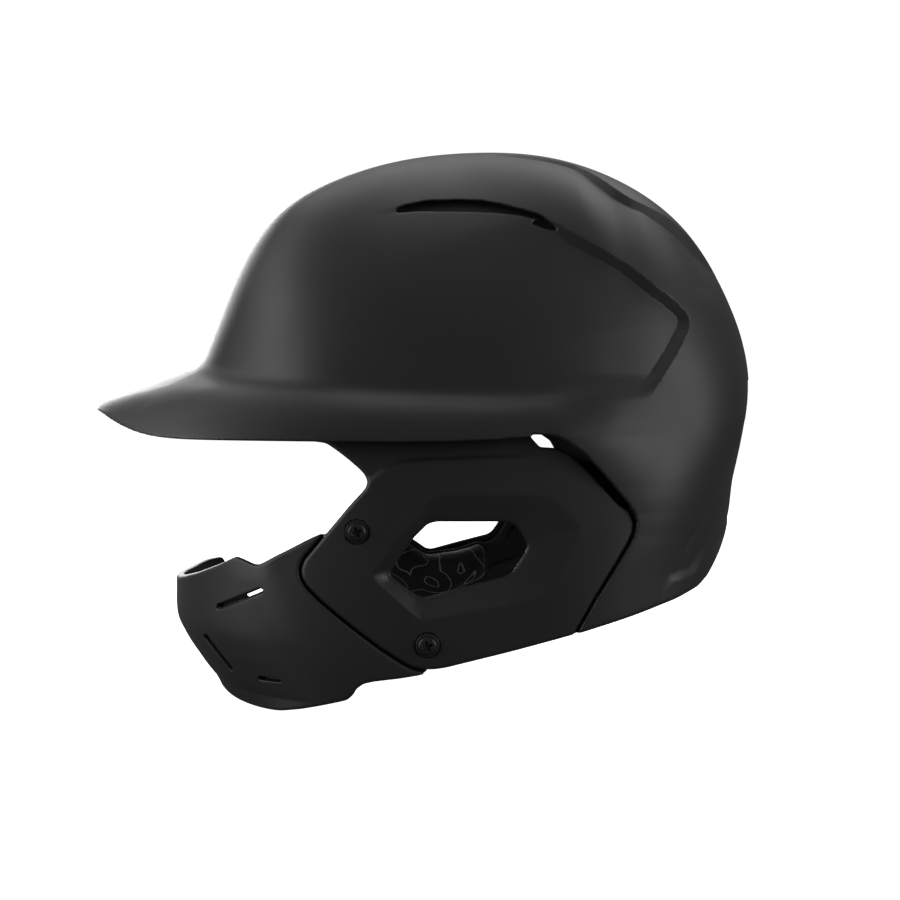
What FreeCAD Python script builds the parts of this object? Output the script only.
import FreeCAD, Part
import math
import os

# Batting helmet: moulded shell with two ear flaps, bolted jaw guard on the
# wearer's left, impact liners, comfort pads and their fixings.
# Millimetres. -X is forward (brim), +Z up, -Y the wearer's left, and the
# helmet's middle plane is y = 0. Everything is modelled in a design frame and
# moved by PART_SHIFT as it is written.
# "Depth" is always measured inwards from the outer surface, along its normal.

os.makedirs("parts", exist_ok=True)
Vector = FreeCAD.Vector

PART_SHIFT = Vector(13.38, 0, 97.4)
REACH = 130.0            # y beyond the helmet on either side

# ----------------------------------------------------------------------- dome
# The outer surface is described about a transverse line low in the helmet.
SHELL_T = 3.5            # moulded shell wall
HALF_W = 102.0           # dome half width at the transverse line
POLE_X, POLE_Z = 2.5, -100.0
DOME_SWING = 86          # layers reach this angle to each side of the middle
LAYER_STEP = 5           # approximate angle between interpolated points

# (angle about the line: 0 rear, 90 up, 180 front; radius on the middle plane)
DOME_RADIUS = [
    (-10, 107.45), (0, 107.45), (10, 107.45), (18, 112.75), (25, 121.24),
    (32, 132.48), (40, 154.08), (48, 182.65), (56, 202.55), (64, 217.58),
    (72, 225.7), (80, 228.44), (88, 227.2), (96, 225.01), (104, 221.13),
    (110, 215.49), (116, 203.46), (121, 190.27), (126, 178.95),
    (131, 169.45), (137, 155.75), (144, 142.26), (152, 129.8),
    (162, 120.35), (175, 112.83), (190, 109.66)]
# (angle, superellipse exponent: higher is a squarer cross-section)
DOME_SQUARENESS = [
    (-10, 3.0), (20, 2.9), (45, 2.75), (70, 2.65), (90, 2.6), (110, 2.5),
    (125, 2.4), (140, 2.5), (160, 2.9), (190, 3.0)]

# ---------------------------------------------------- shell outlines, side view
# All outlines are (x, z); each edge run starts where the one before it ends.
BROW = [(-140, 34.0), (-114, 31.0), (-104, 25.5), (-93, 19.0), (-80, 12.2),
        (-66, 7.0), (-54, 4.6), (-46.4, 3.7)]
FLAP_FRONT = [BROW[-1], (-41.4, 0.5), (-35.8, -3.9), (-31.6, -7.9),
              (-30.5, -10.7), (-31.6, -13.2), (-37.2, -19.1), (-44.6, -27.9),
              (-50.1, -34.5), (-53.9, -39.0)]
SEAM = [FLAP_FRONT[-1], (-55.1, -42.4), (-54.7, -45.6), (-52.6, -48.7),
        (-47.8, -53.3), (-40.4, -59.2), (-33.0, -64.8), (-25.8, -70.0),
        (-18.6, -74.6), (-14.2, -77.0), (-10.6, -77.9)]
BOTTOM_FRONT = [SEAM[-1], (-6.0, -77.5), (-2.0, -76.7)]
BOTTOM_REAR = [(68.3, -58.4), (83.0, -54.3), (94.0, -50.6)]
BOTTOM_FLAT = [BOTTOM_FRONT[-1], BOTTOM_REAR[0]]     # straight run
OVER_TOP = [BOTTOM_REAR[-1], (150, -34), (150, 150), (-160, 150), (-160, 34), BROW[0]]

EAR_HOLE = [(-23.6, -43.4), (-13.9, -30.1), (-8.9, -25.2), (-5.7, -24.3),
            (20.8, -24.3), (24.7, -26.5), (28.3, -33.0), (28.0, -35.0),
            (22.8, -43.6), (20.0, -45.6), (-9.2, -53.6), (-12.6, -53.0),
            (-22.9, -45.6)]
SLOT = [(28.5, 6.5), (35.8, 6.5), (41.3, 4.9), (46.8, 1.2), (52.2, -3.9),
        (59.5, -12.4), (66.0, -19.8), (67.9, -23.5), (67.6, -27.6),
        (65.9, -31.6), (61.2, -39.6), (53.8, -51.2), (47.6, -60.8),
        (45.4, -60.8), (51.9, -50.3), (59.3, -38.7), (65.0, -28.8),
        (66.0, -24.6), (65.0, -21.8), (61.3, -18.2), (55.8, -12.6),
        (50.3, -6.9), (43.1, -0.2), (37.6, 2.0), (32.1, 2.7)]
VENT = [(-21.7, 94.4), (-17.8, 95.8), (-10.1, 97.6), (1.6, 97.8), (11.3, 97.5),
        (18.9, 95.9), (26.6, 93.7), (31.4, 92.3), (35.2, 90.8), (39.8, 86.7),
        (40.9, 85.0), (35.9, 85.9), (31.2, 89.0), (18.8, 92.2), (1.5, 92.9),
        (-12.9, 93.2), (-20.7, 92.7)]
OPENING_Y = 40.0         # openings are cut from here outwards, on both sides

# --------------------------------------------------------- brim and side ledge
# one half: plan outline (x, |y|), then the z of the crease on the dome, of the
# knee and of the lower edge
LEDGE = [(-151.6, 0.0, 37.6, 21.0, 17.6),
         (-149.5, 20.0, 37.0, 20.2, 16.8),
         (-143.0, 40.0, 35.6, 18.4, 14.6),
         (-131.0, 60.0, 32.4, 15.8, 11.2),
         (-113.0, 78.0, 28.0, 14.6, 6.6),
         (-90.0, 91.0, 25.0, 15.0, 4.6),
         (-60.0, 99.5, 23.6, 15.6, 3.8),
         (-30.0, 103.0, 22.0, 16.0, 3.8),
         (0.0, 104.5, 20.8, 16.2, 4.4),
         (28.0, 103.8, 20.4, 16.4, 6.0),
         (48.0, 99.8, 20.6, 17.2, 9.0),
         (64.0, 92.4, 20.6, 18.4, 13.0)]
LEDGE_ROOT = 0.625 * SHELL_T     # how far the ledge runs into the wall
KNEE_SETBACK = 1.82              # knee behind the lip along the sides
KNEE_CENTRE_X = -50.0            # setback is taken towards this x on y = 0
BRIM_START_X, BRIM_BLEND = -60.0, 60.0   # setback fades out forward of here
BROW_CLEARANCE = 0.8             # least height of the lower root over the brow

# ------------------------------------------------------------------- jaw guard
GUARD_T = 3.5            # jaw guard wall
GUARD_CX = -28.0         # plan ellipse centre
GUARD_HALF_W = 100.0     # plan half width
# (z, plan half length)
GUARD_LENGTH = [
    (-110, 49.0), (-102, 57.0), (-98, 65.9), (-94, 70.7), (-90, 74.7),
    (-86, 78.2), (-82, 81.2), (-78, 84.2), (-74, 86.6), (-70, 88.7),
    (-66, 89.6), (-60, 89.8), (-20, 89.5)]
SEAM_GAP = 1.0           # between the shell's seam edge and the guard
RIM_W = 5.0              # joggled rim beside the seam
RIM_DEPTH = 1.0          # depth of the rim's outer face
BRIDGE_OVERLAP = 2.0     # bridge past the gap edge, and past the seam
UNDER_SHELL = SHELL_T + 0.4      # depth of the first parts inside the shell
TONGUE_INNER = 7.1

# (x, z)
TONGUE = [(-50.5, -37.0), (-44.0, -29.5), (-38.2, -22.6), (-34.6, -19.8), (-29.0, -20.4),
          (-25.6, -26.0), (-27.0, -38.0), (-30.0, -48.0), (-19.0, -60.6), (-7.0, -60.0),
          (0.6, -64.0), (1.0, -72.6), (-10.0, -75.6)] + SEAM[-2::-1]
# the seam extended up the flap, then closed through two points behind it
SEAM_LOOP = [(-46.6, -30.4), FLAP_FRONT[-2]] + SEAM + [(-10.6, -60.0), (-40.0, -30.0)]
GUARD_TOP = [(-52.0, -33.4), (-58.5, -36.6), (-65.6, -39.4),
             (-69.6, -41.2), (-72.4, -43.2), (-75.0, -43.0), (-77.6, -40.6),
             (-80.8, -39.3), (-88.0, -42.6), (-99.0, -47.2), (-110.0, -51.0),
             (-116.0, -52.0), (-140.0, -52.0)]
GUARD_BOTTOM = [(-140.0, -97.4), (-90.0, -97.4), (-77.5, -96.9), (-70.0, -96.5),
                (-64.5, -96.0), (-54.8, -93.9), (-45.6, -91.5), (-37.8, -89.4),
                (-35.6, -87.4), (-34.2, -85.0), (-31.8, -83.3), (-28.0, -82.4),
                (-19.3, -81.0), (-10.0, -79.2)]
GUARD_RIGHT = [(-140, -97.4), (-60, -97.4), (-60, -52.0), (-140, -52.0)]
BRIDGE_LIMIT = [(-140, -97.4), (-30, -90), (1.0, -74.6), (1.0, -40.0), (-40.0, -26.0),
                (-45.6, -31.4)] + GUARD_TOP
# slot ends (x, z) and width
GUARD_SLOTS = [((-89.4, -59.2), (-70.2, -50.6), 2.0),
               ((-95.0, -72.2), (-85.0, -82.8), 1.7),
               ((-71.6, -84.2), (-63.0, -82.9), 1.8)]
# what is trimmed off the guard's end on the wearer's right (y, z)
GUARD_END = [(38.0, -40.0), (39.0, -50.0), (44.0, -56.0), (56.0, -71.0), (60.0, -83.0),
             (59.0, -92.0), (53.0, -98.0), (53.0, -120.0), (160, -120), (160, -40)]

# -------------------------------------------------------------- guard fixings
SCREWS = [("upper", -34.2, -28.5), ("lower", -8.6, -69.1)]     # name, x, z
SEAT_SINK = 0.7          # flat seat sunk into the curved wall
SEAT_CLEARANCE = 0.5     # seat radius beyond the washer's
HOLE_R = 2.6
BORE_END_Y = -60.0       # bores are cut from the left to here
HEAD_R, HEAD_H, HEAD_FILLET = 3.75, 2.3, 1.3
SHANK_R, SHANK_END = 1.95, 7.8   # end is measured inwards from the seat
RECESS_LONG, RECESS_SHORT, RECESS_DEPTH = 2.3, 0.5, 1.4   # cross, half sizes
WASHER_R, WASHER_T = 4.6, 0.8
BORE_R = SHANK_R + 0.05          # bore of washers and tee nuts
NUT_BARREL_R, NUT_BARREL_START = 3.0, 3.8
NUT_FLANGE_R, NUT_FLANGE_T, NUT_FLANGE_START = 6.5, 1.2, 6.4

# ------------------------------------------------------ liners, pads and discs
# depths of the outer and inner faces
LINER_DEPTHS = (UNDER_SHELL, 13.8)
PAD_DEPTHS = (15.0, 22.5)
BASE_DEPTHS = (UNDER_SHELL, 7.6)
EAR_PAD_DEPTHS = (8.8, 23.0)
MASTOID_PAD_DEPTHS = (EAR_PAD_DEPTHS[0], EAR_PAD_DEPTHS[1] - 4.0)
DISC_T, DISC_GAP = 0.8, 0.1
SIDE_PAD_Y = 50.0        # side pads and discs are cut from here outwards
BROW_TO_LINER = 7.0      # liner edge above the brow

LINER_REST = [(-46.4, 24.0), (72.0, 24.0), (76.0, 4.0), (82.0, -30.0),
              (150, -30.0), (150, 150), (-160, 150), (-160, 41)]
# piece: (x0, x1, y0, y1, z0, z1) of the box it fills
LINERS = {
    "front_liner": (-160, -40, -47, 47, 0, 140),
    "crown_liner": (-38, 50, -47, 47, 40, 140),
    "rear_liner": (52, 150, -47, 47, -40, 140),
    "left_liner": (-160, 78, -REACH, -49, 24, 140),
    "right_liner": (-160, 78, 49, REACH, 24, 140),
}
PADS = {
    "brow_pad": (-160, -48, -52, 52, 40, 76),
    "crown_pad": (-28, 40, -30, 30, 40, 140),
    "rear_pad": (70, 150, -34, 34, -18, 44),
    "left_temple_pad": (-42, 44, -REACH, -56, 30, 66),
    "right_temple_pad": (-42, 44, 56, REACH, 30, 66),
}
# (x, z)
EAR_PAD = [(-38.0, -24.0), (-30.0, -23.0), (-25.0, -30.0), (-29.0, -43.0), (-22.0, -50.5),
           (-12.0, -56.5), (4.0, -54.5), (16.0, -51.0), (19.0, -54.0), (18.0, -62.5),
           (8.0, -67.0), (-8.0, -72.0), (-17.0, -70.0), (-30.0, -61.0), (-45.0, -50.0),
           (-50.0, -43.0), (-46.0, -34.0)]
MASTOID_PAD = [(36.0, -6.0), (50.0, -4.0), (64.0, -12.0), (71.0, -24.0), (64.0, -40.0),
               (53.0, -53.0), (43.0, -55.0), (38.5, -46.0), (35.0, -36.0), (33.0, -20.0)]
EAR_BASE = [(-36.0, -3.0), (28.0, -1.0), (44.0, -8.0), (60.0, -24.0), (50.0, -46.0),
            (42.0, -58.0), (20.0, -66.0), (-8.0, -72.6), (-30.0, -62.0), (-50.0, -45.0),
            (-50.0, -41.5), (-40.0, -27.0), (-33.0, -19.0), (-26.0, -11.0)]
# discs near the middle plane: radius, cutter length, cutter start, cutter axis
MIDDLE_DISCS = [
    (9, 60, (-130, -28, 58), (1, 0, 0)), (9, 60, (-130, 28, 58), (1, 0, 0)),
    (8, 70, (70, -20, 16), (1, 0, 0)), (8, 70, (70, 20, 16), (1, 0, 0)),
    (9, 60, (-12, 0, 80), (0, 0, 1)), (9, 60, (24, 0, 80), (0, 0, 1))]
# discs on each side: radius, x, z
TEMPLE_DISCS = [(8, -22, 47), (8, 24, 47)]
EAR_DISCS = [(5, 11, -60.0), (6, 48, -26)]


# ------------------------------------------------------------------ arithmetic
def natural_cubic(table):
    """Natural cubic spline through (x, y) rows, held constant past the ends."""
    x, y = zip(*table)
    count = len(x)
    gap = [x[i + 1] - x[i] for i in range(count - 1)]
    slope = [(y[i + 1] - y[i]) / gap[i] for i in range(count - 1)]
    # tridiagonal system for the second derivatives, which are zero at the ends
    diagonal, upper, right = [1.0] * count, [0.0] * count, [0.0] * count
    for i in range(1, count - 1):
        weight = gap[i - 1] / diagonal[i - 1]
        diagonal[i] = 2 * (gap[i - 1] + gap[i]) - weight * upper[i - 1]
        upper[i] = gap[i]
        right[i] = 6 * (slope[i] - slope[i - 1]) - weight * right[i - 1]
    bend = [0.0] * count
    for i in range(count - 2, 0, -1):
        bend[i] = (right[i] - upper[i] * bend[i + 1]) / diagonal[i]

    def value(at):
        at = min(max(at, x[0]), x[-1])
        i = 0
        while i < count - 2 and at > x[i + 1]:
            i += 1
        along = at - x[i]
        return (y[i] + along * (slope[i] - gap[i] * (2 * bend[i] + bend[i + 1]) / 6)
                + along ** 2 * bend[i] / 2
                + along ** 3 * (bend[i + 1] - bend[i]) / (6 * gap[i]))
    return value


def linear(table, at):
    """Straight-line interpolation, held constant past the ends."""
    if at <= table[0][0]:
        return table[0][1]
    for (x0, y0), (x1, y1) in zip(table, table[1:]):
        if at <= x1:
            return y0 + (y1 - y0) * (at - x0) / (x1 - x0)
    return table[-1][1]


def steps(start, end, count):
    return [start + (end - start) * i / count for i in range(count + 1)]


def inset(outline, distance):
    """Polygon shrunk by distance (grown when negative), with mitred corners."""
    count = len(outline)
    area = sum(outline[i][0] * outline[(i + 1) % count][1]
               - outline[(i + 1) % count][0] * outline[i][1] for i in range(count))
    turn = 1 if area > 0 else -1

    def inward(start, end):
        dx, dz = end[0] - start[0], end[1] - start[1]
        length = math.hypot(dx, dz)
        return -dz / length * turn, dx / length * turn

    moved = []
    for i, (x, z) in enumerate(outline):
        before = inward(outline[i - 1], (x, z))
        after = inward((x, z), outline[(i + 1) % count])
        mitre = 1 + before[0] * after[0] + before[1] * after[1]
        moved.append((x + distance * (before[0] + after[0]) / mitre,
                      z + distance * (before[1] + after[1]) / mitre))
    return moved


# -------------------------------------------------------------------- surfaces
dome_radius = natural_cubic(DOME_RADIUS)
dome_squareness = natural_cubic(DOME_SQUARENESS)
guard_length = natural_cubic(GUARD_LENGTH)


def moved_in(surface, u, v, depth, delta, inside):
    """Point of surface(u, v) moved along the normal towards the point inside."""
    point = surface(u, v)
    normal = (surface(u + delta, v) - surface(u - delta, v)).cross(
        surface(u, v + delta) - surface(u, v - delta))
    normal.normalize()
    if normal.dot(inside - point) < 0:
        normal = normal * -1
    return point + normal * depth


def dome_surface(angle, swing):
    power = dome_squareness(angle)
    sine, cosine = math.sin(math.radians(swing)), math.cos(math.radians(swing))
    scale = (abs(sine) ** power + abs(cosine) ** power) ** (-1.0 / power)
    radius = dome_radius(angle) * scale * cosine
    turn = math.radians(angle)
    return Vector(POLE_X + radius * math.cos(turn), HALF_W * scale * sine,
                  POLE_Z + radius * math.sin(turn))


def dome(angle, swing, depth):
    return moved_in(dome_surface, angle, swing, depth, 0.25, Vector(POLE_X, 0, POLE_Z + 60))


def dome_section(x, z):
    """Share of the dome radius reached at a side-view point, and the exponent there."""
    angle = math.degrees(math.atan2(z - POLE_Z, x - POLE_X))
    share = math.hypot(x - POLE_X, z - POLE_Z) / dome_radius(angle)
    return share, dome_squareness(angle)


def dome_half_width(x, z):
    share, power = dome_section(x, z)
    return HALF_W * (1 - min(share, 0.9995) ** power) ** (1.0 / power)


def guard_surface(heading, z):
    # heading 0 = front centre, -90 = the wearer's left
    turn = math.radians(heading)
    return Vector(GUARD_CX - guard_length(z) * math.cos(turn),
                  GUARD_HALF_W * math.sin(turn), z)


def guard_wall(heading, z, depth):
    return moved_in(guard_surface, heading, z, depth, 0.3, Vector(GUARD_CX, 0, z))


# each screw as (name, x, z, y of its seat on the shell)
FIXINGS = [(name, x, z, -dome_half_width(x, z) + SEAT_SINK) for name, x, z in SCREWS]


# ---------------------------------------------------------------------- solids
def curve_through(points):
    curve = Part.BSplineCurve()
    curve.interpolate(points)
    return curve.toShape()


def solid_from(faces):
    skin = Part.makeShell(faces)
    skin.sewShape()
    solid = Part.makeSolid(skin)
    if solid.Volume < 0:
        solid.reverse()
    return solid


def thick_patch(surface, u_values, v_values, depths):
    """Closed solid between two depths of surface(u, v, depth)."""
    skins = []
    for depth in depths:
        skin = Part.BSplineSurface()
        skin.interpolate([[surface(u, v, depth) for v in v_values] for u in u_values])
        skins.append(skin)

    def borders(skin):
        u0, u1, v0, v1 = skin.bounds()
        return skin.uIso(u0), skin.uIso(u1), skin.vIso(v0), skin.vIso(v1)

    faces = [skin.toShape() for skin in skins]
    for outer, inner in zip(borders(skins[0]), borders(skins[1])):
        faces.append(Part.makeRuledSurface(outer.toShape(), inner.toShape()))
    return solid_from(faces)


def layer(outer, inner, start=12, end=168):
    """Part of the dome between two depths and two angles."""
    angles = steps(start, end, int((end - start) / LAYER_STEP))
    swings = steps(-DOME_SWING, DOME_SWING, int(2 * DOME_SWING / LAYER_STEP))
    return thick_patch(dome, angles, swings, (outer, inner))


def prism(outline, y0, y1):
    """Side-view outline (x, z) extruded across the helmet."""
    wire = Part.makePolygon([Vector(x, y0, z) for x, z in outline + outline[:1]])
    return Part.Face(wire).extrude(Vector(0, y1 - y0, 0))


def box(x0, x1, y0, y1, z0, z1):
    return Part.makeBox(x1 - x0, y1 - y0, z1 - z0, Vector(x0, y0, z0))


def cylinder(radius, x, z, y0, y1):
    return Part.makeCylinder(radius, y1 - y0, Vector(x, y0, z), Vector(0, 1, 0))


def mirror(shape):
    return shape.mirror(Vector(0, 0, 0), Vector(0, 1, 0))


def biggest(shape):
    return sorted(shape.Solids, key=lambda solid: -solid.Volume)[0]


def write(name, shape):
    shape = shape.copy()
    shape.translate(PART_SHIFT)
    shape.exportStep("parts/%s.step" % name)


# ----------------------------------------------------------------------- shell
def shell_outline():
    """Everything above the brow, round the ear flap, along the bottom and over the top."""
    edges = []
    for smooth, run in ((True, BROW), (True, FLAP_FRONT), (True, SEAM), (True, BOTTOM_FRONT),
                        (False, BOTTOM_FLAT), (True, BOTTOM_REAR), (False, OVER_TOP)):
        points = [Vector(x, -REACH, z) for x, z in run]
        if smooth:
            edges.append(curve_through(points))
        else:
            edges += [Part.makeLine(a, b) for a, b in zip(points, points[1:])]
    return Part.Face(Part.Wire(edges)).extrude(Vector(0, 2 * REACH, 0))


def ledge_root(x, y, z, side):
    """Point inside the wall, level with z, on the way from the lip to the head."""
    centre_x = 0.0 if x > BRIM_START_X else x - BRIM_START_X
    outside, inside = 0.0, 1.0
    for _ in range(40):
        middle = 0.5 * (outside + inside)
        share, power = dome_section(x + (centre_x - x) * middle, z)
        if share ** power + (abs(y - y * middle) / HALF_W) ** power > 1:
            outside = middle
        else:
            inside = middle
    travel = outside + LEDGE_ROOT / math.hypot(centre_x - x, y)
    return Vector(x + (centre_x - x) * travel, (y - y * travel) * side, z)


def ledge_section(x, y, crease, knee, low, side):
    """Corners of the ledge's section: upper root, knee, lip, lower root."""
    root_low = low
    if x < -46:
        brow_z = linear(BROW, ledge_root(x, y, low, side).x)
        root_low = max(low, brow_z + BROW_CLEARANCE)
    out = math.hypot(x - KNEE_CENTRE_X, y)
    brim = max(0.0, min(1.0, (BRIM_START_X - x) / BRIM_BLEND))
    setback = KNEE_SETBACK * (1 - brim)
    knee_x = x - (x - KNEE_CENTRE_X) / out * setback * 0.3
    knee_y = y - y / out * setback
    return (ledge_root(x, y, crease, side), Vector(knee_x, knee_y * side, knee),
            Vector(x, y * side, low), ledge_root(x, y, root_low, side))


def make_ledge():
    # from the left rear, round the front, to the right rear
    sections = [ledge_section(*row, side=-1) for row in reversed(LEDGE)]
    sections += [ledge_section(*row, side=1) for row in LEDGE[1:]]
    tracks = [curve_through([section[i] for section in sections]) for i in range(4)]
    faces = [Part.makeRuledSurface(tracks[i], tracks[(i + 1) % 4]) for i in range(4)]
    for crease, knee, lip, root in (sections[0], sections[-1]):
        faces.append(Part.makeRuledSurface(Part.makeLine(crease, knee),
                                           Part.makeLine(root, lip)))
    return solid_from(faces)


def make_shell():
    body = biggest(layer(0.0, SHELL_T).common(shell_outline()))
    shell = body.fuse(make_ledge())
    cuts = []
    for y0, y1 in ((-REACH, -OPENING_Y), (OPENING_Y, REACH)):
        cuts += [prism(outline, y0, y1) for outline in (EAR_HOLE, SLOT, VENT)]
    for _, x, z, seat in FIXINGS:
        cuts.append(cylinder(HOLE_R, x, z, -REACH, BORE_END_Y))
        cuts.append(cylinder(WASHER_R + SEAT_CLEARANCE, x, z, -REACH, seat))
    return biggest(shell.cut(Part.makeCompound(cuts)))


# ------------------------------------------------------------------- jaw guard
def seam_line(outward):
    """Seam moved away from the flap, without the two closing points."""
    return inset(SEAM_LOOP, -outward)[:-2]


def seam_band(near, far):
    return prism(near + list(reversed(far)), -REACH, -OPENING_Y)


def guard_slot(start, end, width):
    (x0, z0), (x1, z1) = start, end
    length = math.hypot(x1 - x0, z1 - z0)
    dx, dz = -(z1 - z0) / length * width / 2, (x1 - x0) / length * width / 2
    corners = [(x0 + dx, z0 + dz), (x1 + dx, z1 + dz), (x1 - dx, z1 - dz), (x0 - dx, z0 - dz)]
    return prism(corners, -REACH, -20)


def make_guard():
    wall = thick_patch(guard_wall, steps(-106, 68, 34), steps(-102, -22, 20), (0.0, GUARD_T))
    gap_line = seam_line(SEAM_GAP)
    left_profile = prism(GUARD_BOTTOM + list(reversed(gap_line)) + GUARD_TOP, -REACH, 0.0)
    left = wall.common(left_profile)
    right = wall.common(prism(GUARD_RIGHT, 0.0, REACH))
    trim = Part.makePolygon([Vector(-200, y, z) for y, z in GUARD_END + GUARD_END[:1]])
    right = right.cut(Part.Face(trim).extrude(Vector(200, 0, 0)))
    guard = left.fuse(right)

    # joggled rim, the tongue under the flap and the bridge that joins them
    flap_zone = box(-100, 40, -REACH, -OPENING_Y, -100, 20)
    rim_layer = layer(RIM_DEPTH, TONGUE_INNER, 20, 150).common(flap_zone)
    rim = rim_layer.common(seam_band(gap_line, seam_line(SEAM_GAP + RIM_W)))
    rim = rim.common(left_profile)
    tongue_layer = layer(UNDER_SHELL, TONGUE_INNER, 20, 150).common(flap_zone)
    tongue = tongue_layer.common(prism(TONGUE, -REACH, -OPENING_Y))
    bridge = tongue_layer.common(
        seam_band(seam_line(SEAM_GAP + BRIDGE_OVERLAP), seam_line(-BRIDGE_OVERLAP)))
    bridge = bridge.common(prism(BRIDGE_LIMIT, -REACH, 0.0))
    guard = guard.fuse([rim, tongue, bridge])

    cuts = [guard_slot(*slot) for slot in GUARD_SLOTS]
    for _, x, z, seat in FIXINGS:
        cuts.append(cylinder(NUT_BARREL_R + 0.15, x, z, -REACH, BORE_END_Y))
        cuts.append(cylinder(NUT_FLANGE_R + 0.3, x, z,
                             seat + NUT_FLANGE_START - 0.05, BORE_END_Y))
    return biggest(guard.cut(Part.makeCompound(cuts)))


# --------------------------------------------------------------- guard fixings
def make_screw(x, z, seat):
    under_head = seat - WASHER_T
    top = under_head - HEAD_H
    head = cylinder(HEAD_R, x, z, top, under_head)
    head = head.makeFillet(HEAD_FILLET, [e for e in head.Edges if e.BoundBox.YMax < top + 0.1])
    shank = cylinder(SHANK_R, x, z, under_head - 0.5, seat + SHANK_END)
    screw = head.fuse(shank).removeSplitter()
    for dx, dz in ((RECESS_LONG, RECESS_SHORT), (RECESS_SHORT, RECESS_LONG)):
        screw = screw.cut(box(x - dx, x + dx, top - 1, top + RECESS_DEPTH, z - dz, z + dz))
    return screw


def make_washer(x, z, seat):
    disc = cylinder(WASHER_R, x, z, seat - WASHER_T, seat)
    return disc.cut(cylinder(BORE_R, x, z, seat - 5, seat + 5))


def make_tee_nut(x, z, seat):
    start = seat + NUT_FLANGE_START
    flange = cylinder(NUT_FLANGE_R, x, z, start, start + NUT_FLANGE_T)
    barrel = cylinder(NUT_BARREL_R, x, z, seat + NUT_BARREL_START, start + 0.1)
    nut = flange.fuse(barrel).removeSplitter()
    return nut.cut(cylinder(BORE_R, x, z, seat, seat + 12))


# ------------------------------------------------------------- liners and pads
def write_liners():
    edge = [(x, z + BROW_TO_LINER) for x, z in BROW] + LINER_REST
    foam = layer(*LINER_DEPTHS).common(prism(edge, -REACH, REACH))
    for name, bounds in LINERS.items():
        write(name, biggest(foam.common(box(*bounds))))


def write_pads():
    foam = layer(*PAD_DEPTHS)
    for name, bounds in PADS.items():
        write(name, biggest(foam.common(box(*bounds))))


def left_prism(outline):
    return prism(outline, -REACH, -SIDE_PAD_Y)


def write_ear_bases():
    base = layer(*BASE_DEPTHS).common(left_prism(EAR_BASE))
    base = base.cut(left_prism(inset(EAR_HOLE, -2.5)))
    # only the left base makes room for the guard's tongue
    write("left_ear_pad_base", biggest(base.cut(left_prism(inset(TONGUE, -1.0)))))
    write("right_ear_pad_base", biggest(mirror(base)))


def write_side_pads():
    ear = layer(*EAR_PAD_DEPTHS).common(left_prism(EAR_PAD))
    mastoid = layer(*MASTOID_PAD_DEPTHS).common(left_prism(MASTOID_PAD))
    # pockets over the tee nuts, on the left only
    pockets = [cylinder(NUT_FLANGE_R + 1.0, x, z, -REACH,
                        seat + NUT_FLANGE_START + NUT_FLANGE_T + 2.0)
               for _, x, z, seat in FIXINGS]
    write("left_ear_pad", biggest(ear.cut(Part.makeCompound(pockets))))
    write("right_ear_pad", biggest(mirror(ear)))
    write("left_mastoid_pad", biggest(mastoid))
    write("right_mastoid_pad", biggest(mirror(mastoid)))


def disc_layer(depths):
    outer = depths[1] + DISC_GAP
    return layer(outer, outer + DISC_T)


def make_discs():
    """Hook-and-loop discs between the liners or ear bases and the pads."""
    on_liner = disc_layer(LINER_DEPTHS)
    on_base = disc_layer(BASE_DEPTHS)
    discs = []
    for radius, length, start, axis in MIDDLE_DISCS:
        cutter = Part.makeCylinder(radius, length, Vector(*start), Vector(*axis))
        discs.append(on_liner.common(cutter))
    for y0, y1 in ((-REACH, -SIDE_PAD_Y), (SIDE_PAD_Y, REACH)):
        for sheet, places in ((on_liner, TEMPLE_DISCS), (on_base, EAR_DISCS)):
            for radius, x, z in places:
                discs.append(sheet.common(cylinder(radius, x, z, y0, y1)))
    return Part.makeCompound([biggest(disc) for disc in discs])


write("shell", make_shell())
write("jaw_guard", make_guard())
for name, *place in FIXINGS:
    write(name + "_guard_screw", make_screw(*place))
    write(name + "_screw_washer", make_washer(*place))
    write(name + "_tee_nut", make_tee_nut(*place))
write_liners()
write_pads()
write_ear_bases()
write_side_pads()
write("pad_hook_discs", make_discs())
